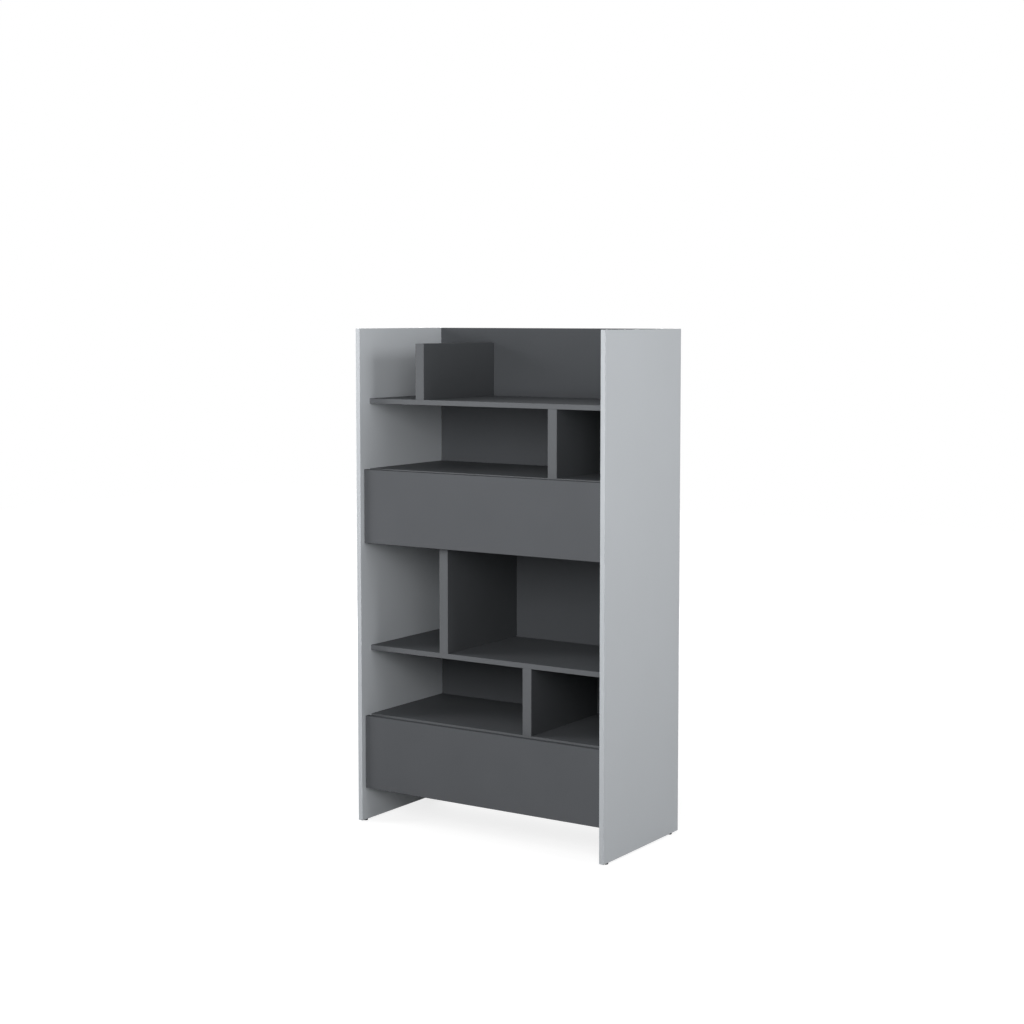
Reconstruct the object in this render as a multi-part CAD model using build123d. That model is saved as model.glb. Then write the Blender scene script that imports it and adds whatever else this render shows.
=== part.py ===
from build123d import *
import math
import os

# Open bookcase with two drawers, in millimetres.
# The origin is on the floor under the middle of the unit. X runs to the right, Y to the back and Z up.

# Carcass boards
overall_width = 920.0
overall_depth = 460.0
side_height = 1585.0
board = 16.0
divider_board = 32.0
edge_round = 1.0

# Layout, from the bottom of the side panels upwards
base_gap = 106.0
case_height = 236.0
low_bay = 208.0
tall_bay = 336.0
top_divider_height = 176.0

# Layout across and in depth
narrow_bay = 182.0
wide_bay = 272.0
shelf_setback = 50.0
front_setback = 17.0

# Glides under the side panels
glide_height = 5.0
glide_diameter = 15.0
glide_chamfer = 1.2
glide_sides = 10
glide_stem_diameter = 4.0
glide_stem_length = 14.0
glide_front_inset = 27.0
glide_rear_inset = 40.0

# Hidden joining hardware, as prisms with few sides
hardware_sides = 6
hardware_play = 0.1
cam_diameter = 15.0
cam_height = 12.5
cam_reach = 24.0
cam_inset = 60.0
bolt_diameter = 6.0
bolt_thread_length = 11.0
dowel_diameter = 8.0
dowel_long_end = 20.0
dowel_short_end = 10.0
divider_dowel_inset = 70.0

# Drawer boxes
front_side_gap = 2.0
front_drop = 1.5
drawer_board = 12.0
drawer_rear_gap = 11.0
drawer_side_height = 150.0
drawer_rise = 14.0
bottom_thickness = 3.0
groove_rise = 10.0
groove_depth = 6.0
groove_play = 0.2
drawer_dowel_diameter = 6.0
drawer_dowel_short_end = 8.0
drawer_dowel_inset = 35.0

# Ball runners
runner_height = 45.0
runner_sheet = 1.1
runner_bend = 0.9
runner_front_gap = 2.0
runner_rear_gap = 9.0
runner_rise = 38.0
ball_diameter = 4.4
race_play = 0.3
race_lean = 50.0
web_gap = 0.5
screw_hole_inset = 40.0
screw_hole_diameter = 4.5
window_length = 22.0
window_width = 9.0
window_chamfer = 3.0

# Ball cages
cage_length = 180.0
cage_sheet = 0.7
cage_play = 0.15
cage_rail = 2.0
cage_wall_gap = 0.4
cage_ball_count = 3
cage_ball_pitch = 60.0

# Places that follow from the sizes above
inner_half = overall_width / 2 - board
face_front = -overall_depth / 2
face_back = overall_depth / 2
back_front = face_back - board
shelf_front = face_front + shelf_setback
drawer_face = face_front + front_setback
drawer_face_back = drawer_face + board
drawer_rear = back_front - drawer_rear_gap

side_bottom = glide_height
side_top = side_bottom + side_height
lower_case = side_bottom + base_gap
lower_roof_top = lower_case + case_height
middle_shelf_bottom = lower_roof_top + low_bay
middle_shelf_top = middle_shelf_bottom + board
upper_case = middle_shelf_top + tall_bay
upper_roof_top = upper_case + case_height
top_shelf_bottom = upper_roof_top + low_bay
top_shelf_top = top_shelf_bottom + board

# Ball runner section. Across, it is measured from the side panel towards the drawer; up, from its middle.
race_radius = ball_diameter / 2 + race_play
race_line = race_radius + runner_sheet / 2
race_rim = race_radius + runner_sheet
outer_ball = Vector(race_rim, runner_height / 2 - race_rim)
inner_ball = outer_ball + Vector(2 * race_line, 0).rotate(Axis.Z, -race_lean)
lip_angle = math.degrees(math.asin((cage_sheet / 2 + race_play) / race_radius))
cabinet_web = runner_sheet / 2
middle_web = outer_ball.X - runner_bend
drawer_web = inner_ball.X + race_rim + web_gap + runner_sheet / 2
runner_width = drawer_web + runner_sheet / 2
runner_front = drawer_face_back + runner_front_gap
runner_rear = back_front - runner_rear_gap
runner_middle = (runner_front + runner_rear) / 2

# Each horizontal board by the height of its underside
horizontals = {
    "lower_drawer_floor": lower_case,
    "lower_drawer_roof": lower_roof_top - board,
    "middle_shelf": middle_shelf_bottom,
    "upper_drawer_floor": upper_case,
    "upper_drawer_roof": upper_roof_top - board,
    "top_shelf": top_shelf_bottom,
}

# Each divider: its left face, its foot and head, and the boards that it stands on and carries
dividers = {
    "lower_divider": (
        inner_half - wide_bay - divider_board,
        lower_roof_top,
        middle_shelf_bottom,
        "lower_drawer_roof",
        "middle_shelf",
    ),
    "middle_divider": (
        -inner_half + wide_bay,
        middle_shelf_top,
        upper_case,
        "middle_shelf",
        "upper_drawer_floor",
    ),
    "upper_divider": (
        inner_half - narrow_bay - divider_board,
        upper_roof_top,
        top_shelf_bottom,
        "upper_drawer_roof",
        "top_shelf",
    ),
    "top_divider": (
        -inner_half + narrow_bay,
        top_shelf_top,
        top_shelf_top + top_divider_height,
        "top_shelf",
        None,
    ),
}

drawer_cases = {"lower": lower_case, "upper": upper_case}
hands = {"left": -1, "right": 1}

nodes = {}
groups = {}
cuts = {}


def slab(x_span, y_span, z_span):
    """A board that fills three spans, each a low and a high end."""
    spans = (x_span, y_span, z_span)
    low = [min(span) for span in spans]
    size = [abs(span[1] - span[0]) for span in spans]
    return Pos(*low) * Box(*size, align=(Align.MIN, Align.MIN, Align.MIN))


def rod(diameter, start, end):
    """A prism of round hardware from one point to another, with a corner up or, when upright, to the right."""
    along = Vector(*end) - Vector(*start)
    corner = Vector(1, 0, 0) if along.X == along.Y == 0 else Vector(0, 0, 1)
    section = Plane(Vector(*start), x_dir=corner, z_dir=along) * RegularPolygon(diameter / 2, hardware_sides)
    return extrude(section, along.length, dir=along.normalized())


def cut_later(name, *tools):
    """Keeps the cuts of a board until the board is made."""
    cuts.setdefault(name, []).extend(tools)


def finish_board(name, solid, banded_edges=()):
    """Rounds a board's banded edges, makes its cuts and stores it."""
    if banded_edges:
        solid = fillet(banded_edges, edge_round)
    nodes[name] = solid - cuts[name] if name in cuts else solid


def drive(group, diameter, first, start, meet, end, second, hole_end=None):
    """Adds a dowel or bolt that lies in two boards, from the first to the second, and its hole in each."""
    groups.setdefault(group, []).append(rod(diameter, start, end))
    hole = diameter + 2 * hardware_play
    cut_later(first, rod(hole, meet, hole_end or start))
    cut_later(second, rod(hole, meet, end))


# Shelves and drawer cases are held at each end by two cam locks, with a dowel between them
def shelf_joints(name, underside):
    middle = underside + board / 2
    front_row = shelf_front + cam_inset
    rear_row = back_front - cam_inset
    dowel_row = (front_row + rear_row) / 2
    cam_rim = cam_reach - cam_diameter / 2 - hardware_play
    for hand, side in hands.items():
        panel = f"{hand}_side_panel"
        for row in (front_row, rear_row):
            low = (side * (inner_half - cam_reach), row, underside)
            high = (side * (inner_half - cam_reach), row, underside + cam_height)
            groups.setdefault("shelf_cam_locks", []).append(rod(cam_diameter, low, high))
            cut_later(name, rod(cam_diameter + 2 * hardware_play, low, high))
            in_pocket = (side * (inner_half - cam_reach), row, middle)
            at_cam = (side * (inner_half - cam_rim), row, middle)
            meet = (side * inner_half, row, middle)
            in_panel = (side * (inner_half + bolt_thread_length), row, middle)
            drive("shelf_cam_bolts", bolt_diameter, name, at_cam, meet, in_panel, panel, in_pocket)
        in_shelf = (side * (inner_half - dowel_long_end), dowel_row, middle)
        meet = (side * inner_half, dowel_row, middle)
        in_panel = (side * (inner_half + dowel_short_end), dowel_row, middle)
        drive("shelf_dowels", dowel_diameter, name, in_shelf, meet, in_panel, panel)


# The back panel is dowelled to the side panels halfway up a drawer case, the tall bay and the open top
def back_joints():
    row = back_front + board / 2
    heights = (
        (lower_case + lower_roof_top) / 2,
        (middle_shelf_top + upper_case) / 2,
        (top_shelf_top + side_top) / 2,
    )
    for hand, side in hands.items():
        for height in heights:
            in_back = (side * (inner_half - dowel_long_end), row, height)
            meet = (side * inner_half, row, height)
            in_panel = (side * (inner_half + dowel_short_end), row, height)
            drive("back_dowels", dowel_diameter, "back_panel", in_back, meet, in_panel, f"{hand}_side_panel")


# Each divider is dowelled to the boards below and above it
def divider_joints(name, left, foot, head, below, above):
    middle = left + divider_board / 2
    seats = [(foot, 1, below)]
    if above:
        seats.append((head, -1, above))
    for row in (shelf_front + divider_dowel_inset, back_front - divider_dowel_inset):
        for height, inward, carrier in seats:
            in_divider = (middle, row, height + inward * dowel_long_end)
            meet = (middle, row, height)
            in_carrier = (middle, row, height - inward * dowel_short_end)
            drive("divider_dowels", dowel_diameter, name, in_divider, meet, in_carrier, carrier)


# A glide is a chamfered foot with a stem that is driven into the side panel's lower edge
def glides():
    foot = extrude(RegularPolygon(glide_diameter / 2, glide_sides), glide_height)
    foot = chamfer(foot.edges().group_by(Axis.Z)[0], glide_chamfer)
    stem_top = glide_height + glide_stem_length
    glide = foot + rod(glide_stem_diameter, (0, 0, glide_height), (0, 0, stem_top))
    hole_diameter = glide_stem_diameter + 2 * hardware_play
    hole = rod(hole_diameter, (0, 0, side_bottom), (0, 0, stem_top + hardware_play))
    for hand, side in hands.items():
        x = side * (inner_half + board / 2)
        for y in (face_front + glide_front_inset, face_back - glide_rear_inset):
            groups.setdefault("glide_feet", []).append(Pos(x, y, 0) * glide)
            cut_later(f"{hand}_side_panel", Pos(x, y, 0) * hole)


def carcass():
    for name, underside in horizontals.items():
        shelf_joints(name, underside)
    back_joints()
    for name, layout in dividers.items():
        divider_joints(name, *layout)
    glides()

    for hand, side in hands.items():
        outer = side * overall_width / 2
        panel = slab((outer, side * inner_half), (face_front, face_back), (side_bottom, side_top))
        finish_board(f"{hand}_side_panel", panel, panel.edges().group_by(Axis.Y)[0].filter_by(Axis.Z))

    back = slab((-inner_half, inner_half), (back_front, face_back), (lower_case, side_top))
    finish_board("back_panel", back)

    for name, underside in horizontals.items():
        shelf = slab((-inner_half, inner_half), (shelf_front, back_front), (underside, underside + board))
        finish_board(name, shelf, shelf.edges().group_by(Axis.Y)[0].filter_by(Axis.X))

    for name, (left, foot, head, _, above) in dividers.items():
        divider = slab((left, left + divider_board), (shelf_front, back_front), (foot, head))
        front_edges = divider.edges().group_by(Axis.Y)[0]
        finish_board(name, divider, front_edges.filter_by(Axis.Z) if above else front_edges)


# The three runner members are folded from sheet, so that each pair of facing races holds a row of balls
def folded_sheet(*half_path):
    """The section of a folded sheet whose lower half mirrors the upper one."""
    upper = Curve() + list(half_path)
    return trace(upper + mirror(upper, Plane.XZ), runner_sheet)


def cabinet_section():
    web = Line((cabinet_web, 0), (cabinet_web, outer_ball.Y))
    hook = CenterArc(outer_ball, race_line, 180, lip_angle - 180)
    return folded_sheet(web, hook)


def middle_section():
    bend_height = outer_ball.Y - race_line - runner_bend
    web = Line((middle_web, 0), (middle_web, bend_height))
    bend = CenterArc((outer_ball.X, bend_height), runner_bend, 180, -90)
    cup = CenterArc(outer_ball, race_line, 270, 90 - race_lean)
    hook = CenterArc(inner_ball, race_line, 180 - race_lean, race_lean + lip_angle - 180)
    return folded_sheet(web, bend, cup, hook)


def drawer_section():
    flange_height = inner_ball.Y - race_line
    bend_height = flange_height - runner_bend
    web = Line((drawer_web, 0), (drawer_web, bend_height))
    bend = CenterArc((drawer_web - runner_bend, bend_height), runner_bend, 0, 90)
    flange = Line((drawer_web - runner_bend, flange_height), (inner_ball.X, flange_height))
    cup = CenterArc(inner_ball, race_line, 270, lip_angle - 90)
    return folded_sheet(web, bend, flange, cup)


def across(hand, distance):
    """The X of a point at a distance from the inner face of one side panel."""
    return hands[hand] * (inner_half - distance)


def runner_member(section, web, cut_outline, hand, height):
    """One member along its side panel, with a cut through its web at each screw."""
    start = Plane((-inner_half, runner_rear, height), x_dir=(1, 0, 0), z_dir=(0, -1, 0))
    member = extrude(start * section, runner_rear - runner_front)
    if hand == "right":
        member = mirror(member, Plane.YZ)
    screw_rows = (runner_front + screw_hole_inset, runner_middle, runner_rear - screw_hole_inset)
    for row in screw_rows:
        at_web = Plane((across(hand, web), row, height), x_dir=(0, 1, 0), z_dir=(1, 0, 0))
        member -= extrude(at_web * cut_outline, runner_sheet, both=True)
    return member


def cage_strip(hand, ball, low, high, middle_height, up):
    """One flat strip between two races, with a pocket for each ball."""
    height = middle_height + up * ball.Y
    z_span = (height - cage_sheet / 2, height + cage_sheet / 2)
    y_span = (runner_middle - cage_length / 2, runner_middle + cage_length / 2)
    strip = slab((across(hand, low), across(hand, high)), y_span, z_span)
    pocket_half = ball_diameter / 2 + cage_play
    x_span = (across(hand, ball.X - pocket_half), across(hand, ball.X + pocket_half))
    first_row = runner_middle - (cage_ball_count - 1) * cage_ball_pitch / 2
    for step in range(cage_ball_count):
        row = first_row + step * cage_ball_pitch
        strip -= slab(x_span, (row - pocket_half, row + pocket_half), z_span)
    return strip


def runners(name, height):
    screw_hole = RegularPolygon(screw_hole_diameter / 2, hardware_sides)
    window = chamfer(Rectangle(window_length, window_width).vertices(), window_chamfer)
    members = {
        "cabinet": (cabinet_section(), cabinet_web, screw_hole),
        "middle": (middle_section(), middle_web, window),
        "drawer": (drawer_section(), drawer_web, screw_hole),
    }
    outer_low = runner_sheet + race_play
    outer_high = outer_ball.X + ball_diameter / 2 + cage_play + cage_rail
    inner_low = middle_web + runner_sheet / 2 + cage_wall_gap
    inner_high = drawer_web - runner_sheet / 2 - cage_wall_gap
    outer_cages = []
    inner_cages = []
    for hand in hands:
        for member, shape in members.items():
            nodes[f"{name}_{hand}_runner_{member}_member"] = runner_member(*shape, hand, height)
        for up in (1, -1):
            outer_cages.append(cage_strip(hand, outer_ball, outer_low, outer_high, height, up))
            inner_cages.append(cage_strip(hand, inner_ball, inner_low, inner_high, height, up))
    groups[f"{name}_outer_ball_cages"] = outer_cages
    groups[f"{name}_inner_ball_cages"] = inner_cages


def drawer_joints(name, low, high, side_outer, side_inner):
    group = f"{name}_drawer_dowels"
    back_row = drawer_rear - drawer_board / 2
    for hand, side in hands.items():
        side_board = f"{name}_drawer_{hand}_side"
        for height in (low + drawer_dowel_inset, high - drawer_dowel_inset):
            x = side * (side_outer + side_inner) / 2
            in_side = (x, drawer_face_back + dowel_long_end, height)
            meet = (x, drawer_face_back, height)
            in_front = (x, drawer_face_back - drawer_dowel_short_end, height)
            drive(group, drawer_dowel_diameter, side_board, in_side, meet, in_front, f"{name}_drawer_front")
            in_back = (side * (side_inner - dowel_long_end), back_row, height)
            meet = (side * side_inner, back_row, height)
            in_side = (side * (side_inner + drawer_dowel_short_end), back_row, height)
            drive(group, drawer_dowel_diameter, f"{name}_drawer_back", in_back, meet, in_side, side_board)


def drawer(name, case_bottom):
    low = case_bottom + board + drawer_rise
    high = low + drawer_side_height
    side_outer = inner_half - runner_width
    side_inner = side_outer - drawer_board
    groove_half = side_inner + groove_depth
    groove_low = low + groove_rise
    groove_high = groove_low + bottom_thickness + groove_play
    groove_front = drawer_face_back - groove_depth
    drawer_joints(name, low, high, side_outer, side_inner)
    groove = slab((-groove_half, groove_half), (groove_front, drawer_rear), (groove_low, groove_high))

    front_half = inner_half - front_side_gap
    front_low = case_bottom - front_drop
    front_span = (front_low, front_low + case_height)
    front = slab((-front_half, front_half), (drawer_face, drawer_face_back), front_span)
    cut_later(f"{name}_drawer_front", groove)
    finish_board(f"{name}_drawer_front", front, front.edges().group_by(Axis.Y)[0])

    for hand, side in hands.items():
        side_name = f"{name}_drawer_{hand}_side"
        cut_later(side_name, groove)
        side_span = (side * side_outer, side * side_inner)
        finish_board(side_name, slab(side_span, (drawer_face_back, drawer_rear), (low, high)))

    back_span = (drawer_rear - drawer_board, drawer_rear)
    finish_board(f"{name}_drawer_back", slab((-side_inner, side_inner), back_span, (groove_high, high)))

    bottom_half = groove_half - groove_play
    bottom_span = (groove_front + groove_play, drawer_rear)
    bottom = slab((-bottom_half, bottom_half), bottom_span, (groove_low, groove_low + bottom_thickness))
    finish_board(f"{name}_drawer_bottom", bottom)
    runners(name, low + runner_rise)


carcass()
for drawer_name, drawer_case in drawer_cases.items():
    drawer(drawer_name, drawer_case)
for group_name, solids in groups.items():
    nodes[group_name] = Compound(children=solids)

os.makedirs("parts", exist_ok=True)
for node_name, shape in nodes.items():
    export_step(shape, f"parts/{node_name}.step")
print(len(nodes), "nodes")
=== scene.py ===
import math

import bpy
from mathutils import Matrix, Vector


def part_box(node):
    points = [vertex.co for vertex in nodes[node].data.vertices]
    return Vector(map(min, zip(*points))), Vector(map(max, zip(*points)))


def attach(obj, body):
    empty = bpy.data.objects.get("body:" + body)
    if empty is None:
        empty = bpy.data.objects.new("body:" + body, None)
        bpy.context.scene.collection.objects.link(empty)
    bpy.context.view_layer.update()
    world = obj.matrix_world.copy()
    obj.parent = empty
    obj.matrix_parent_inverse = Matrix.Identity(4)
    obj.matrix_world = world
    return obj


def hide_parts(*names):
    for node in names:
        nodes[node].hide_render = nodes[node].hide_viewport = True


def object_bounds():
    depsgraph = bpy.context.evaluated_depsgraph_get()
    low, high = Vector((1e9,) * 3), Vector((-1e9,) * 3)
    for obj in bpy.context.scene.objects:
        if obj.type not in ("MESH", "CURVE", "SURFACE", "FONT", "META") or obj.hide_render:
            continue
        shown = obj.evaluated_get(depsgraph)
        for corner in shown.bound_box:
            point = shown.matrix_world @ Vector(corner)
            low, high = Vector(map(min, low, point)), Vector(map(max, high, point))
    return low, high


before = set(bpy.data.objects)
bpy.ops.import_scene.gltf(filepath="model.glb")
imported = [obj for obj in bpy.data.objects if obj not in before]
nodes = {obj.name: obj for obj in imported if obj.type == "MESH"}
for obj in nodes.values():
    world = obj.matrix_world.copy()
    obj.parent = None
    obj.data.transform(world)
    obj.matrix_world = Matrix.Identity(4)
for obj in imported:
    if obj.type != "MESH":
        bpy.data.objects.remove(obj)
cadLow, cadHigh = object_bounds()
hands = {"left": -1, "right": 1}
drawers = ("lower", "upper")
shelves = (
    "lower_drawer_floor",
    "lower_drawer_roof",
    "middle_shelf",
    "upper_drawer_floor",
    "upper_drawer_roof",
    "top_shelf",
)
bayDividers = ("lower_divider", "middle_divider", "upper_divider")
print("stage: frame loaded,", len(nodes), "nodes")

# node tree helpers

noiseSpan = (0.3, 0.7)  # nearly every value of a noise lies in here


def addNode(tree, kind, values=None, **settings):
    node = tree.nodes.new(kind)
    for key, value in settings.items():
        setattr(node, key, value)
    for key, value in (values or {}).items():
        feed(tree, node.inputs[key], value)
    return node


def feed(tree, socket, value):  # a link where the value comes from a node, else a plain setting
    if isinstance(value, bpy.types.NodeSocket):
        tree.links.new(value, socket)
    else:
        socket.default_value = value


def calc(tree, operation, *values):
    node = addNode(tree, "ShaderNodeMath", operation=operation)
    for socket, value in zip(node.inputs, values):
        feed(tree, socket, value)
    return node.outputs[0]


def vectorCalc(tree, operation, *values):
    node = addNode(tree, "ShaderNodeVectorMath", operation=operation)
    for socket, value in zip(node.inputs, values):
        feed(tree, socket, value)
    return node.outputs[0]


def joinAxes(tree, x=0.0, y=0.0, z=0.0):
    return addNode(tree, "ShaderNodeCombineXYZ", {0: x, 1: y, 2: z}).outputs[0]


def remap(tree, value, low, high):
    values = {
        "Value": value,
        "From Min": noiseSpan[0],
        "From Max": noiseSpan[1],
        "To Min": low,
        "To Max": high,
    }
    return addNode(tree, "ShaderNodeMapRange", values).outputs["Result"]


def mixColour(tree, factor, first, second):
    node = addNode(tree, "ShaderNodeMix", data_type="RGBA")
    feed(tree, node.inputs[0], factor)
    feed(tree, node.inputs[6], first)
    feed(tree, node.inputs[7], second)
    return node.outputs[2]


def shaderGroup(name, inputs, outputs):
    tree = bpy.data.node_groups.new(name, "ShaderNodeTree")
    for label, kind, value in inputs:
        socket = tree.interface.new_socket(label, in_out="INPUT", socket_type=kind)
        socket.default_value = value
    for label in outputs:
        tree.interface.new_socket(label, in_out="OUTPUT", socket_type="NodeSocketFloat")
    return tree, tree.nodes.new("NodeGroupInput").outputs, tree.nodes.new("NodeGroupOutput").inputs


def placeGroup(tree, group, values):
    node = tree.nodes.new("ShaderNodeGroup")
    node.node_tree = group
    for key, value in values.items():
        node.inputs[key].default_value = value
    return node.outputs


# surface effects that several finishes share

away = 9.0  # metres, past every board, so that no band is drawn on that side
pressGrainLook = {
    "grainSize": 0.0014,
    "cloudSize": 0.22,
    "grainDetail": 1.0,
    "cloudDetail": 2.0,
    "share": 0.5,
}
edgeBandLook = {"thickness": 0.001, "seamWidth": 0.0003}
drawnLinesLook = {"lineSize": 0.0009, "stretch": 60.0, "detail": 4.0}


def makePressGrain():  # the fine grain that a press plate leaves in a board's skin, over faint broad clouds
    tree, given, made = shaderGroup(
        "pressGrain",
        (
            ("Grain Size", "NodeSocketFloat", pressGrainLook["grainSize"]),
            ("Cloud Size", "NodeSocketFloat", pressGrainLook["cloudSize"]),
        ),
        ("Tone", "Gloss", "Relief"),
    )
    place = tree.nodes.new("ShaderNodeTexCoord").outputs["Object"]
    fine = {"Vector": place, "Scale": calc(tree, "DIVIDE", 1.0, given["Grain Size"])}
    broad = {"Vector": place, "Scale": calc(tree, "DIVIDE", 1.0, given["Cloud Size"])}
    pores = addNode(tree, "ShaderNodeTexVoronoi", fine).outputs["Distance"]
    fine["Detail"] = pressGrainLook["grainDetail"]
    broad["Detail"] = pressGrainLook["cloudDetail"]
    grain = addNode(tree, "ShaderNodeTexNoise", fine).outputs["Fac"]
    clouds = addNode(tree, "ShaderNodeTexNoise", broad).outputs["Fac"]
    share = pressGrainLook["share"]
    partGrain = calc(tree, "MULTIPLY", grain, share)
    tree.links.new(calc(tree, "MULTIPLY_ADD", pores, share, partGrain), made["Relief"])
    tree.links.new(calc(tree, "MULTIPLY_ADD", clouds, share, partGrain), made["Tone"])
    tree.links.new(clouds, made["Gloss"])
    return tree


def makeEdgeBand():  # the glued strip along a board's edges, and the hairline seam beside it
    tree, given, made = shaderGroup(
        "edgeBand",
        (
            ("Low", "NodeSocketVector", (-away, -away, -away)),
            ("High", "NodeSocketVector", (away, away, away)),
            ("Thickness", "NodeSocketFloat", edgeBandLook["thickness"]),
            ("Seam Width", "NodeSocketFloat", edgeBandLook["seamWidth"]),
        ),
        ("Band", "Seam"),
    )
    place = tree.nodes.new("ShaderNodeTexCoord").outputs["Object"]
    fromLow = vectorCalc(tree, "SUBTRACT", place, given["Low"])
    fromHigh = vectorCalc(tree, "SUBTRACT", given["High"], place)
    nearer = vectorCalc(tree, "MINIMUM", fromLow, fromHigh)
    sides = addNode(tree, "ShaderNodeSeparateXYZ", {0: nearer}).outputs
    depth = calc(tree, "MINIMUM", calc(tree, "MINIMUM", sides[0], sides[1]), sides[2])
    offSeam = calc(tree, "ABSOLUTE", calc(tree, "SUBTRACT", depth, given["Thickness"]))
    tree.links.new(calc(tree, "LESS_THAN", depth, given["Thickness"]), made["Band"])
    tree.links.new(calc(tree, "LESS_THAN", offSeam, given["Seam Width"]), made["Seam"])
    return tree


def makeDrawnLines():  # streaks along Y, as rolling and drawing leave them in sheet
    tree, given, made = shaderGroup(
        "drawnLines",
        (
            ("Line Size", "NodeSocketFloat", drawnLinesLook["lineSize"]),
            ("Stretch", "NodeSocketFloat", drawnLinesLook["stretch"]),
        ),
        ("Tone", "Relief"),
    )
    place = tree.nodes.new("ShaderNodeTexCoord").outputs["Object"]
    fine = calc(tree, "DIVIDE", 1.0, given["Line Size"])
    along = calc(tree, "DIVIDE", fine, given["Stretch"])
    drawn = vectorCalc(tree, "MULTIPLY", place, joinAxes(tree, fine, along, fine))
    values = {"Vector": drawn, "Scale": 1.0, "Detail": drawnLinesLook["detail"]}
    lines = addNode(tree, "ShaderNodeTexNoise", values).outputs["Fac"]
    tree.links.new(lines, made["Tone"])
    tree.links.new(lines, made["Relief"])
    return tree


pressGrain = makePressGrain()
edgeBand = makeEdgeBand()
drawnLines = makeDrawnLines()
print("stage: surface effects made")

# finishes


def startMaterial(name):
    material = bpy.data.materials.new(name)
    material.use_nodes = True
    return material, material.node_tree, material.node_tree.nodes["Principled BSDF"]


def shade(colour, factor):
    return (colour[0] * factor, colour[1] * factor, colour[2] * factor, 1.0)


def toned(tree, tone, colour, look):  # a colour that drifts between the look's dark and light
    return mixColour(tree, tone, shade(colour, look["dark"]), shade(colour, look["light"]))


def addBump(tree, shader, height, look):
    values = {"Height": height, "Strength": look["bump"], "Distance": look["relief"]}
    tree.links.new(addNode(tree, "ShaderNodeBump", values).outputs["Normal"], shader.inputs["Normal"])


def laminate(name, look, bandLow=(-away, -away, -away), bandHigh=(away, away, away)):
    material, tree, shader = startMaterial(name)
    skin = placeGroup(tree, pressGrain, {"Grain Size": look["grainSize"], "Cloud Size": look["cloudSize"]})
    strip = {"Low": bandLow, "High": bandHigh, "Thickness": look["bandThickness"]}
    band = placeGroup(tree, edgeBand, strip)
    tone = remap(tree, skin["Tone"], 0.0, 1.0)
    face = toned(tree, tone, look["colour"], look)
    edge = toned(tree, tone, look["band"], look)
    # on the side panels, graphite boards and drawer fronts the band's colour differs from the face's as
    # painted light and shade
    board = mixColour(tree, band["Band"], face, edge)
    seam = calc(tree, "MULTIPLY", band["Seam"], look["seam"])
    colour = mixColour(tree, seam, board, shade(look["colour"], look["seamShade"]))
    tree.links.new(colour, shader.inputs["Base Color"])
    tree.links.new(remap(tree, skin["Gloss"], *look["roughness"]), shader.inputs["Roughness"])
    shader.inputs["Specular IOR Level"].default_value = look["specular"]
    addBump(tree, shader, skin["Relief"], look)
    return material


def steel(name, look):
    material, tree, shader = startMaterial(name)
    lines = placeGroup(tree, drawnLines, {"Line Size": look["lineSize"], "Stretch": look["stretch"]})
    tone = remap(tree, lines["Tone"], 0.0, 1.0)
    tree.links.new(toned(tree, tone, look["colour"], look), shader.inputs["Base Color"])
    tree.links.new(remap(tree, lines["Tone"], *look["roughness"]), shader.inputs["Roughness"])
    shader.inputs["Metallic"].default_value = 1.0
    addBump(tree, shader, lines["Relief"], look)
    return material


def plastic(name, look):
    material, tree, shader = startMaterial(name)
    skin = placeGroup(tree, pressGrain, {"Grain Size": look["grainSize"], "Cloud Size": look["cloudSize"]})
    tone = remap(tree, skin["Tone"], 0.0, 1.0)
    tree.links.new(toned(tree, tone, look["colour"], look), shader.inputs["Base Color"])
    tree.links.new(remap(tree, skin["Gloss"], *look["roughness"]), shader.inputs["Roughness"])
    shader.inputs["Specular IOR Level"].default_value = look["specular"]
    addBump(tree, shader, skin["Relief"], look)
    return material


def wearNode(name, material):  # a CAD node keeps its mesh and takes a finish
    for slot in nodes[name].material_slots:
        slot.material = material


# carcass boards

paleBoard = {
    "colour": (0.560, 0.587, 0.614),
    # painted shade: the band on the side panels' edges is a darker copy of their face colour
    "band": (0.490, 0.514, 0.538),
    "dark": 0.97,
    "light": 1.03,
    "seam": 0.2,
    "seamShade": 0.3,
    "grainSize": 0.0014,
    "cloudSize": 0.25,
    "bandThickness": 0.001,
    "roughness": (0.50, 0.60),
    "specular": 0.3,
    "bump": 0.25,
    "relief": 0.0001,
}
graphiteBoard = dict(
    paleBoard,
    colour=(0.083, 0.088, 0.094),
    # painted light: the band on the front and top edges of shelves, dividers and back is a lighter copy of
    # the graphite face
    band=(0.127, 0.133, 0.141),
    dark=0.94,
    light=1.06,
    roughness=(0.46, 0.56),
    specular=0.04,
)
matteBoard = dict(graphiteBoard, specular=0.0)  # with any gloss its top edge turns white at a low angle
# painted sheen: the back's face colour is a lighter copy of the graphite, in place of the gloss that is
# taken off
sheenPaintedBackBoard = dict(matteBoard, colour=(0.088, 0.093, 0.100))


def dressBoards():
    sideLow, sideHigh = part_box("left_side_panel")
    sideEnds = (-away, sideLow.y, sideLow.z), (away, sideHigh.y, sideHigh.z)
    pale = laminate("pale side board", paleBoard, *sideEnds)
    for hand in hands:
        wearNode(f"{hand}_side_panel", pale)
    frontEnd = (-away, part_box("top_shelf")[0].y, -away)
    shelfBoard = laminate("graphite shelf board", graphiteBoard, frontEnd)
    for name in shelves + bayDividers:
        wearNode(name, shelfBoard)
    dividerTop = (away, away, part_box("top_divider")[1].z)
    wearNode("top_divider", laminate("graphite top divider", matteBoard, frontEnd, dividerTop))
    backTop = (away, away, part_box("back_panel")[1].z)
    wearNode("back_panel", laminate("graphite back board", sheenPaintedBackBoard, bandHigh=backTop))


dressBoards()

# drawers

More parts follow.
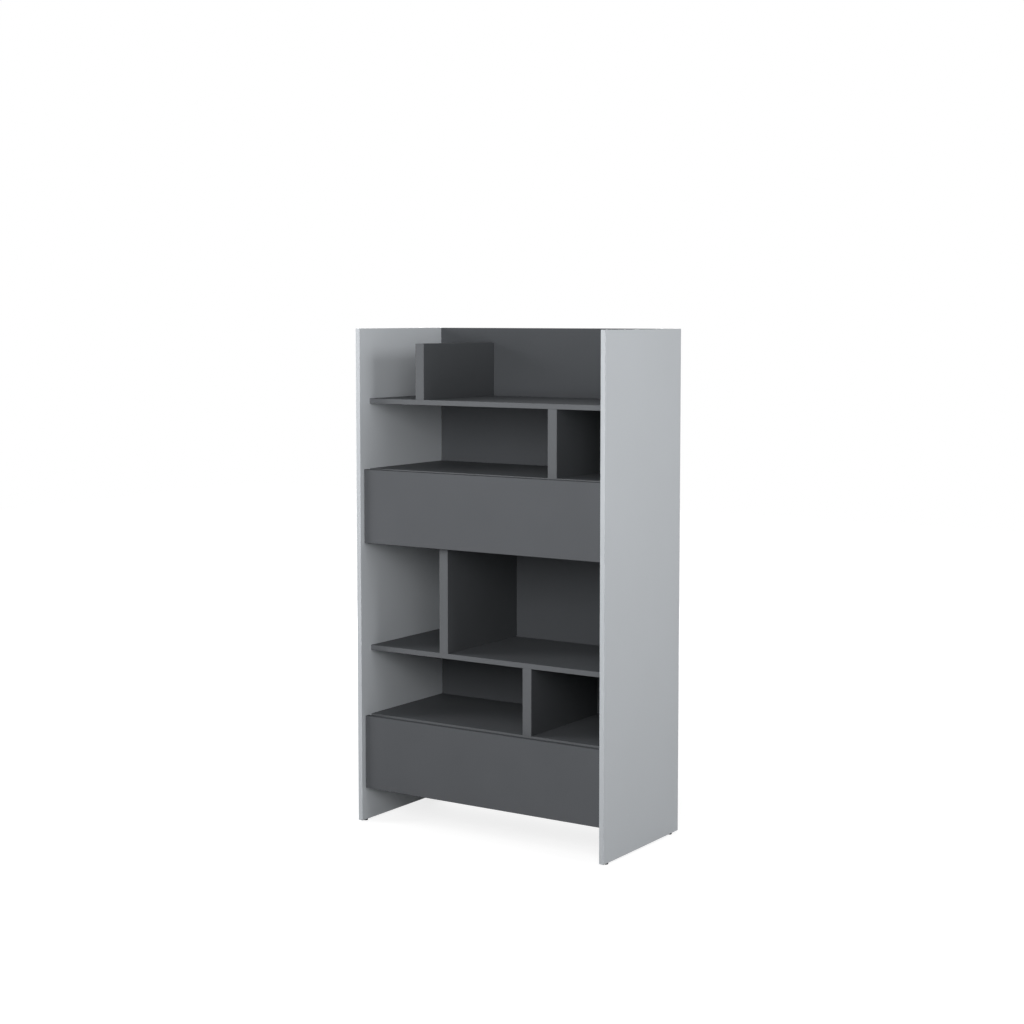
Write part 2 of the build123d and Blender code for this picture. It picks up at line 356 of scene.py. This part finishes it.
# painted light and shade: the fronts' face is a lighter copy of the graphite, and their edge band a darker
# one, painted shade along their edges
frontBoardPaintedLight = dict(matteBoard, colour=(0.107, 0.112, 0.120), band=(0.080, 0.084, 0.090))
boxBoard = dict(paleBoard, colour=(0.27, 0.28, 0.29), band=(0.29, 0.30, 0.31), bandThickness=0.0006)
thinBoard = dict(boxBoard, colour=(0.25, 0.26, 0.27), grainSize=0.003, roughness=(0.6, 0.7))


def dressDrawer(name, thinSheet):
    low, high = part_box(f"{name}_drawer_front")
    frontEnds = (low.x, -away, low.z), (high.x, away, high.z)
    wearNode(f"{name}_drawer_front", laminate(f"{name} graphite front", frontBoardPaintedLight, *frontEnds))
    boxTop = (away, away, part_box(f"{name}_drawer_back")[1].z)
    boxSide = laminate(f"{name} drawer box board", boxBoard, bandHigh=boxTop)
    for part in ("left_side", "right_side", "back"):
        wearNode(f"{name}_drawer_{part}", boxSide)
    wearNode(f"{name}_drawer_bottom", thinSheet)


greyThinSheet = laminate("grey thin board", thinBoard)
for drawerName in drawers:
    dressDrawer(drawerName, greyThinSheet)

# runners and joining hardware

zincSheet = {
    "colour": (0.43, 0.44, 0.46),
    "dark": 0.86,
    "light": 1.08,
    "lineSize": 0.0009,
    "stretch": 60.0,
    "roughness": (0.32, 0.46),
    "bump": 0.2,
    "relief": 0.00005,
}
castZinc = dict(zincSheet, colour=(0.52, 0.53, 0.54), stretch=1.0, roughness=(0.4, 0.55))
blackPlastic = {
    "colour": (0.012, 0.012, 0.013),
    "dark": 0.85,
    "light": 1.15,
    "grainSize": 0.0006,
    "cloudSize": 0.02,
    "roughness": (0.55, 0.68),
    "specular": 0.0,
    "bump": 0.2,
    "relief": 0.00005,
}
cageMould = dict(blackPlastic, colour=(0.03, 0.03, 0.034), specular=0.4)
beech = dict(
    boxBoard,
    colour=(0.55, 0.39, 0.24),
    band=(0.55, 0.39, 0.24),
    dark=0.8,
    light=1.15,
    cloudSize=0.004,
)


def dressRunners(sheet, mould):
    for name in drawers:
        for hand in hands:
            for member in ("cabinet", "middle", "drawer"):
                wearNode(f"{name}_{hand}_runner_{member}_member", sheet)
        for row in ("outer", "inner"):
            wearNode(f"{name}_{row}_ball_cages", mould)


def dressHardware(dowelWood, fittingZinc):
    for joined in ("shelf", "back", "divider", "lower_drawer", "upper_drawer"):
        wearNode(f"{joined}_dowels", dowelWood)
    for fitting in ("shelf_cam_locks", "shelf_cam_bolts"):
        wearNode(fitting, fittingZinc)


cagePlastic = plastic("cage strip plastic", cageMould)
dressRunners(steel("zinc runner sheet", zincSheet), cagePlastic)
dressHardware(laminate("beech dowel", beech), steel("cast zinc fitting", castZinc))
print("stage: boards, runners and fittings finished")

# small repeated pieces, each grown by a node tree on a list of places

weldDistance = 1e-6
sharpAngle = math.radians(38)  # steeper edges stay crisp


def pieceTree(name, sizes):
    tree = bpy.data.node_groups.new(name, "GeometryNodeTree")
    tree.interface.new_socket("Geometry", in_out="INPUT", socket_type="NodeSocketGeometry")
    for label in sizes:
        tree.interface.new_socket(label, in_out="INPUT", socket_type="NodeSocketFloat")
    tree.interface.new_socket("Material", in_out="INPUT", socket_type="NodeSocketMaterial")
    tree.interface.new_socket("Geometry", in_out="OUTPUT", socket_type="NodeSocketGeometry")
    return tree, tree.nodes.new("NodeGroupInput").outputs, tree.nodes.new("NodeGroupOutput").inputs


def lathe(tree, radius, height, profile, sides):  # rings from the lowest centre out and up to the top one
    joined = tree.nodes.new("GeometryNodeJoinGeometry")
    for (lowShare, lowLevel), (highShare, highLevel) in zip(profile, profile[1:]):
        sizes = {
            "Vertices": sides,
            "Radius Bottom": calc(tree, "MULTIPLY", radius, lowShare),
            "Radius Top": calc(tree, "MULTIPLY", radius, highShare),
            "Depth": calc(tree, "MULTIPLY", height, highLevel - lowLevel),
        }
        ring = addNode(tree, "GeometryNodeMeshCone", sizes, fill_type="NONE").outputs["Mesh"]
        rise = joinAxes(tree, z=calc(tree, "MULTIPLY", height, lowLevel))
        lifted = addNode(tree, "GeometryNodeTransform", {"Geometry": ring, "Translation": rise})
        tree.links.new(lifted.outputs[0], joined.inputs[0])
    values = {"Geometry": joined.outputs[0], "Distance": weldDistance}
    return addNode(tree, "GeometryNodeMergeByDistance", values).outputs[0]


def turnAxis(tree, axis, values, pivot="AUTO"):
    kind = "FunctionNodeAlignRotationToVector"
    return addNode(tree, kind, values, axis=axis, pivot_axis=pivot).outputs[0]


def spreadTree(tree, given, made, shape, along=None):  # on every place, Z to its aim and X to the length
    aim = addNode(tree, "GeometryNodeInputNamedAttribute", {"Name": "aim"}, data_type="FLOAT_VECTOR")
    turn = turnAxis(tree, "Z", {"Vector": aim.outputs["Attribute"]})
    if along:
        turn = turnAxis(tree, "X", {"Rotation": turn, "Vector": along}, "Z")
    values = {"Points": given["Geometry"], "Instance": shape, "Rotation": turn}
    spread = addNode(tree, "GeometryNodeInstanceOnPoints", values).outputs[0]
    plain = addNode(tree, "GeometryNodeRealizeInstances", {"Geometry": spread}).outputs[0]
    values = {"Geometry": plain, "Material": given["Material"]}
    tree.links.new(addNode(tree, "GeometryNodeSetMaterial", values).outputs[0], made["Geometry"])
    return tree


def grow(name, tree, places, sizes, material, body):
    seeds = bpy.data.meshes.new(f"{name}_seeds")
    seeds.from_pydata([place for place, aim in places], [], [])
    aims = seeds.attributes.new("aim", "FLOAT_VECTOR", "POINT")
    aims.data.foreach_set("vector", [value for place, aim in places for value in aim])
    piece = bpy.data.objects.new(name, seeds)
    bpy.context.scene.collection.objects.link(piece)
    modifier = piece.modifiers.new("grow", "NODES")
    modifier.node_group = tree
    values = dict(sizes, Material=material)
    for item in tree.interface.items_tree:
        if item.in_out == "INPUT" and item.name in values:
            modifier[item.identifier] = values[item.name]
    graph = bpy.context.evaluated_depsgraph_get()
    grown = bpy.data.meshes.new_from_object(piece.evaluated_get(graph))
    grown.name = name
    grown.materials.clear()  # leaves out the empty slot that realizing brings
    grown.materials.append(material)
    grown.polygons.foreach_set("material_index", [0] * len(grown.polygons))
    grown.polygons.foreach_set("use_smooth", [True] * len(grown.polygons))
    grown.set_sharp_from_angle(angle=sharpAngle)
    piece.modifiers.clear()
    piece.data = grown
    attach(piece, body)
    return piece


# balls in the runners' cages

ballSteel = dict(
    zincSheet,
    colour=(0.78, 0.79, 0.80),
    stretch=1.0,
    roughness=(0.08, 0.14),
    bump=0.02,
)
ballLook = {
    "sizes": {"Radius": 0.0022},
    "rounds": 3,
    "pitch": 0.06,
    "cageSheet": 0.0007,
    "outerInset": 0.0022,
    "innerInset": 0.00387,
}


def makeBallTree():
    tree, given, made = pieceTree("ball", ballLook["sizes"])
    values = {"Radius": given["Radius"], "Subdivisions": ballLook["rounds"]}
    return spreadTree(tree, given, made, addNode(tree, "GeometryNodeMeshIcoSphere", values).outputs["Mesh"])


def growBalls(name, row, tree, material):
    low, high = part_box(f"{name}_{row}_ball_cages")
    inset = ballLook[f"{row}Inset"]
    halfSheet = ballLook["cageSheet"] / 2
    middle = (low.y + high.y) / 2
    places = []
    for across in (low.x + inset, high.x - inset):
        for level in (low.z + halfSheet, high.z - halfSheet):
            for step in (-1, 0, 1):
                places.append(((across, middle + step * ballLook["pitch"], level), (0, 0, 1)))
    sizes = ballLook["sizes"]
    grow(f"{name}_{row}_balls", tree, places, sizes, material, f"{name}_{row}_cages")


ballTree = makeBallTree()
brightSteel = steel("bright ball steel", ballSteel)
for drawerName in drawers:
    for cageRow in ("outer", "inner"):
        growBalls(drawerName, cageRow, ballTree, brightSteel)

# screws and release levers on the runners

screwZinc = dict(zincSheet, colour=(0.30, 0.28, 0.25), stretch=1.0, roughness=(0.28, 0.40))
screwLook = {
    "sizes": {"Radius": 0.0040, "Height": 0.0008, "Slot Length": 0.0042, "Slot Width": 0.0009},
    "profile": ((0, 0), (1, 0), (1, 0.35), (0.93, 0.7), (0.75, 0.92), (0.55, 1), (0, 1)),
    "sides": 28,
    "inset": 0.04,
}
leverLook = {
    "sizes": {
        "Length": 0.036,
        "Width": 0.006,
        "Thickness": 0.0013,
        "Lift": 0.0036,
        "Pivot Radius": 0.0036,
        "Pivot Height": 0.0022,
    },
    "steps": 16,
    "bendShare": 0.65,
    "cornerShare": 0.35,
    "cornerSteps": 3,
    "pivotProfile": ((0, 0), (1, 0), (1, 0.8), (0.9, 1), (0.45, 1), (0.35, 0.8), (0, 0.8)),
    "pivotSides": 24,
    "aheadOfMiddle": 0.013,
}
runnerSheet = 0.0011  # the thickness of the rolled sheet


def makeScrewTree():  # a flat pan head with a cross cut into it
    tree, given, made = pieceTree("screw", screwLook["sizes"])
    head = lathe(tree, given["Radius"], given["Height"], screwLook["profile"], screwLook["sides"])
    for across, along in (("Slot Length", "Slot Width"), ("Slot Width", "Slot Length")):
        size = joinAxes(tree, given[across], given[along], given["Height"])
        bar = addNode(tree, "GeometryNodeMeshCube", {"Size": size}).outputs["Mesh"]
        values = {"Geometry": bar, "Translation": joinAxes(tree, z=given["Height"])}
        raised = addNode(tree, "GeometryNodeTransform", values).outputs[0]
        cut = addNode(tree, "GeometryNodeMeshBoolean", operation="DIFFERENCE", solver="EXACT")
        tree.links.new(head, cut.inputs["Mesh 1"])
        tree.links.new(raised, cut.inputs["Mesh 2"])
        head = cut.outputs["Mesh"]
    return spreadTree(tree, given, made, head)


def makeLeverTree():  # a sprung tongue on a pivot, which lets the drawer off its runner
    tree, given, made = pieceTree("lever", leverLook["sizes"])
    half = calc(tree, "MULTIPLY", given["Thickness"], 0.5)
    bend = calc(tree, "MULTIPLY", given["Length"], leverLook["bendShare"])
    values = {
        "Start": joinAxes(tree, z=half),
        "Middle": joinAxes(tree, x=bend, z=half),
        "End": joinAxes(tree, x=given["Length"], z=given["Lift"]),
        "Resolution": leverLook["steps"],
    }
    path = addNode(tree, "GeometryNodeCurveQuadraticBezier", values).outputs["Curve"]
    level = addNode(tree, "GeometryNodeSetCurveNormal", {"Curve": path}, mode="Z_UP").outputs["Curve"]
    values = {"Width": given["Width"], "Height": given["Thickness"]}
    flat = addNode(tree, "GeometryNodeCurvePrimitiveQuadrilateral", values).outputs["Curve"]
    corner = calc(tree, "MULTIPLY", given["Thickness"], leverLook["cornerShare"])
    values = {"Curve": flat, "Radius": corner, "Count": leverLook["cornerSteps"]}
    section = addNode(tree, "GeometryNodeFilletCurve", values, mode="POLY").outputs["Curve"]
    values = {"Curve": level, "Profile Curve": section, "Fill Caps": True}
    tongue = addNode(tree, "GeometryNodeCurveToMesh", values).outputs["Mesh"]
    pivotSizes = given["Pivot Radius"], given["Pivot Height"]
    pivot = lathe(tree, *pivotSizes, leverLook["pivotProfile"], leverLook["pivotSides"])
    joined = tree.nodes.new("GeometryNodeJoinGeometry")
    tree.links.new(tongue, joined.inputs[0])
    tree.links.new(pivot, joined.inputs[0])
    return spreadTree(tree, given, made, joined.outputs[0], (0, -1, 0))


def memberWall(name, hand, member):  # a runner member's screwed wall: face, level, two ends and outlook
    low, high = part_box(f"{name}_{hand}_runner_{member}_member")
    sign = hands[hand]
    if member == "cabinet":
        face = sign * (max(abs(low.x), abs(high.x)) - runnerSheet)
        aim = (-sign, 0, 0)
    else:
        face = sign * (min(abs(low.x), abs(high.x)) + runnerSheet)
        aim = (sign, 0, 0)
    return face, (low.z + high.z) / 2, low.y, high.y, aim


def screwPlaces(name, member):
    places = []
    for hand in hands:
        face, level, front, rear, aim = memberWall(name, hand, member)
        for along in (front + screwLook["inset"], (front + rear) / 2, rear - screwLook["inset"]):
            places.append(((face, along, level), aim))
    return places


def growScrews(tree, material):
    sizes = screwLook["sizes"]
    cabinetPlaces = []
    for name in drawers:
        cabinetPlaces += screwPlaces(name, "cabinet")
        places = screwPlaces(name, "drawer")
        grow(f"{name}_drawer_screws", tree, places, sizes, material, f"{name}_drawer")
    grow("cabinet_screws", tree, cabinetPlaces, sizes, material, "carcass")


def growLevers(tree, material):
    sizes = leverLook["sizes"]
    for name in drawers:
        places = []
        for hand in hands:
            face, level, front, rear, aim = memberWall(name, hand, "drawer")
            places.append(((face, (front + rear) / 2 - leverLook["aheadOfMiddle"], level), aim))
        grow(f"{name}_release_levers", tree, places, sizes, material, f"{name}_drawer")


growScrews(makeScrewTree(), steel("plated screw steel", screwZinc))
growLevers(makeLeverTree(), cagePlastic)

# cover caps under the shelves and on the rear

capMould = dict(blackPlastic, colour=(0.095, 0.100, 0.107), specular=0.2)
capShape = {
    "profile": (
        (0, 0),
        (1, 0),
        (1, 0.4),
        (0.97, 0.75),
        (0.9, 1),
        (0.78, 0.95),
        (0.6, 0.8),
        (0.3, 0.72),
        (0, 0.7),
    ),
    "sides": 40,
}
camCapLook = {"sizes": {"Radius": 0.0088, "Height": 0.0009}, "reach": 0.024, "inset": 0.06}
backCapLook = {"sizes": {"Radius": 0.0062, "Height": 0.0011}, "spread": 0.32}


def makeCapTree():  # a push-in cover cap with a soft rim and a shallow dish
    tree, given, made = pieceTree("cap", camCapLook["sizes"])
    cap = lathe(tree, given["Radius"], given["Height"], capShape["profile"], capShape["sides"])
    return spreadTree(tree, given, made, cap)


def growCamCaps(tree, material):
    sideFace = abs(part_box("left_side_panel")[1].x)
    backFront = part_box("back_panel")[0].y
    places = []
    for name in shelves:
        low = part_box(name)[0]
        for sign in hands.values():
            across = sign * (sideFace - camCapLook["reach"])
            for along in (low.y + camCapLook["inset"], backFront - camCapLook["inset"]):
                places.append(((across, along, low.z), (0, 0, -1)))
    grow("cam_caps", tree, places, camCapLook["sizes"], material, "carcass")


def growBackCaps(tree, material):
    sizes = backCapLook["sizes"]
    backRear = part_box("back_panel")[1].y
    places = []
    for name in shelves:
        low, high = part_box(name)
        for step in (-1, 0, 1):
            places.append(((step * backCapLook["spread"], backRear, (low.z + high.z) / 2), (0, 1, 0)))
    grow("back_screw_caps", tree, places, sizes, material, "carcass")


capTree = makeCapTree()
capPlastic = plastic("graphite cap plastic", capMould)
growCamCaps(capTree, capPlastic)
growBackCaps(capTree, capPlastic)

# glides under the side panels

glideLook = {
    "radius": 0.0075,
    "profile": (
        (0, 0),
        (0.8, 0),
        (0.92, 0.05),
        (0.98, 0.16),
        (1, 0.32),
        (1, 0.8),
        (0.95, 0.86),
        (0.95, 1),
        (0, 1),
    ),
    "sides": 40,
    "frontInset": 0.027,
    "rearInset": 0.04,
}


def makeGlideTree():  # a nail-on glide with a rounded sole and a step under the board
    tree, given, made = pieceTree("glide", ("Radius", "Height"))
    glide = lathe(tree, given["Radius"], given["Height"], glideLook["profile"], glideLook["sides"])
    return spreadTree(tree, given, made, glide)


def growGlides(tree, material):
    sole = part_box("glide_feet")[0].z
    sideLow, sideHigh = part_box("right_side_panel")
    across = (sideLow.x + sideHigh.x) / 2
    places = []
    for sign in hands.values():
        for along in (sideLow.y + glideLook["frontInset"], sideHigh.y - glideLook["rearInset"]):
            places.append(((sign * across, along, sole), (0, 0, 1)))
    sizes = {"Radius": glideLook["radius"], "Height": sideLow.z - sole}
    glides = grow("rounded_glides", tree, places, sizes, material, "carcass")
    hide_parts("glide_feet")


growGlides(makeGlideTree(), plastic("black glide plastic", blackPlastic))
print("stage: balls, screws, levers, caps and glides grown")

# floor and backdrop

floorLook = {
    "half": 9.0,
    "colour": (0.36, 0.36, 0.36, 1.0),
    "roughness": 0.9,
    "near": 0.80,
    "far": 1.0,
    "inner": 1.6,
    "outer": 4.0,
}
worldLook = {"fill": 0.12}
white = (1.0, 1.0, 1.0, 1.0)


def seenRays(tree):  # rays that show the backdrop itself, straight, mirrored or through
    path = tree.nodes.new("ShaderNodeLightPath").outputs
    seen = calc(tree, "MAXIMUM", path["Is Camera Ray"], path["Is Glossy Ray"])
    return calc(tree, "MAXIMUM", seen, path["Is Transmission Ray"])


def floorFinish():  # grey enough to keep the shadow, with a glow that fades up to white
    material, tree, shader = startMaterial("pale studio floor")
    place = tree.nodes.new("ShaderNodeTexCoord").outputs["Object"]
    reach = vectorCalc(tree, "MULTIPLY", place, (1, 1, 0))
    values = {
        "Value": addNode(tree, "ShaderNodeVectorMath", {0: reach}, operation="LENGTH").outputs["Value"],
        "From Min": floorLook["inner"],
        "From Max": floorLook["outer"],
        "To Min": floorLook["near"],
        "To Max": floorLook["far"],
    }
    glow = addNode(tree, "ShaderNodeMapRange", values, interpolation_type="SMOOTHSTEP").outputs["Result"]
    shader.inputs["Base Color"].default_value = floorLook["colour"]
    shader.inputs["Roughness"].default_value = floorLook["roughness"]
    shader.inputs["Specular IOR Level"].default_value = 0.0
    shader.inputs["Emission Color"].default_value = white
    tree.links.new(calc(tree, "MULTIPLY", glow, seenRays(tree)), shader.inputs["Emission Strength"])
    return material


def layFloor(level):
    half = floorLook["half"]
    corners = [(-half, -half, level), (half, -half, level), (half, half, level), (-half, half, level)]
    mesh = bpy.data.meshes.new("studio_floor")
    mesh.from_pydata(corners, [], [(0, 1, 2, 3)])
    mesh.materials.append(floorFinish())
    floor = bpy.data.objects.new("studio_floor", mesh)
    bpy.context.scene.collection.objects.link(floor)


def hangWorld():
    world = bpy.data.worlds.new("white studio")
    bpy.context.scene.world = world
    world.use_nodes = True
    tree = world.node_tree
    shader = tree.nodes["Background"]
    shader.inputs["Color"].default_value = white
    fill = worldLook["fill"]
    tree.links.new(calc(tree, "MULTIPLY_ADD", seenRays(tree), 1.0 - fill, fill), shader.inputs["Strength"])


layFloor(cadLow.z)
hangWorld()

# lamps, soft panels that each face a height on the object's upright axis

lamps = {
    "left": {"place": (-2.86, -1.65, 2.0), "aim": 2.3, "size": (1.3, 1.6), "power": 62},
    "front": {"place": (0.46, -3.27, 1.9), "aim": 2.3, "size": (1.3, 1.6), "power": 62},
    "front right": {"place": (1.94, -2.67, 1.9), "aim": 1.4, "size": (1.3, 1.6), "power": 19},
    "high right": {"place": (2.12, -2.12, 3.0), "aim": 1.4, "size": (1.2, 1.2), "power": 7},
    "right": {"place": (3.4, -0.12, 1.9), "aim": 1.4, "size": (1.3, 1.6), "power": 45},
    "rear left": {"place": (-2.4, 3.6, 2.1), "aim": 1.2, "size": (1.8, 1.8), "power": 130},
}


def hangLamp(name, look):
    light = bpy.data.lights.new(name, "AREA")
    light.shape = "RECTANGLE"
    light.size, light.size_y = look["size"]
    light.energy = look["power"]
    holder = bpy.data.objects.new(name, light)
    holder.location = look["place"]
    aim = Vector((0, 0, look["aim"])) - Vector(look["place"])
    holder.rotation_euler = aim.to_track_quat("-Z", "Y").to_euler()
    holder.visible_camera = False
    bpy.context.scene.collection.objects.link(holder)


for lampName, lampLook in lamps.items():
    hangLamp(lampName, lampLook)
print("stage: floor, world and lamps set")

# camera

cameraLook = {
    "place": (3.2802, -4.9909, 1.6332),
    "pitch": 4.396,
    "yaw": 33.454,
    "sensor": 36.0,
    "lens": 66.75,
    "shift": -0.05,
}


def setCamera():
    camera = bpy.data.objects.new("camera", bpy.data.cameras.new("camera"))
    camera.location = cameraLook["place"]
    camera.rotation_euler = (math.radians(90 - cameraLook["pitch"]), 0, math.radians(cameraLook["yaw"]))
    camera.data.sensor_width = cameraLook["sensor"]
    camera.data.lens = cameraLook["lens"]
    camera.data.shift_y = cameraLook["shift"]
    bpy.context.scene.collection.objects.link(camera)
    bpy.context.scene.camera = camera


setCamera()
bpy.context.scene.view_settings.view_transform = "Standard"
print("stage: camera set")
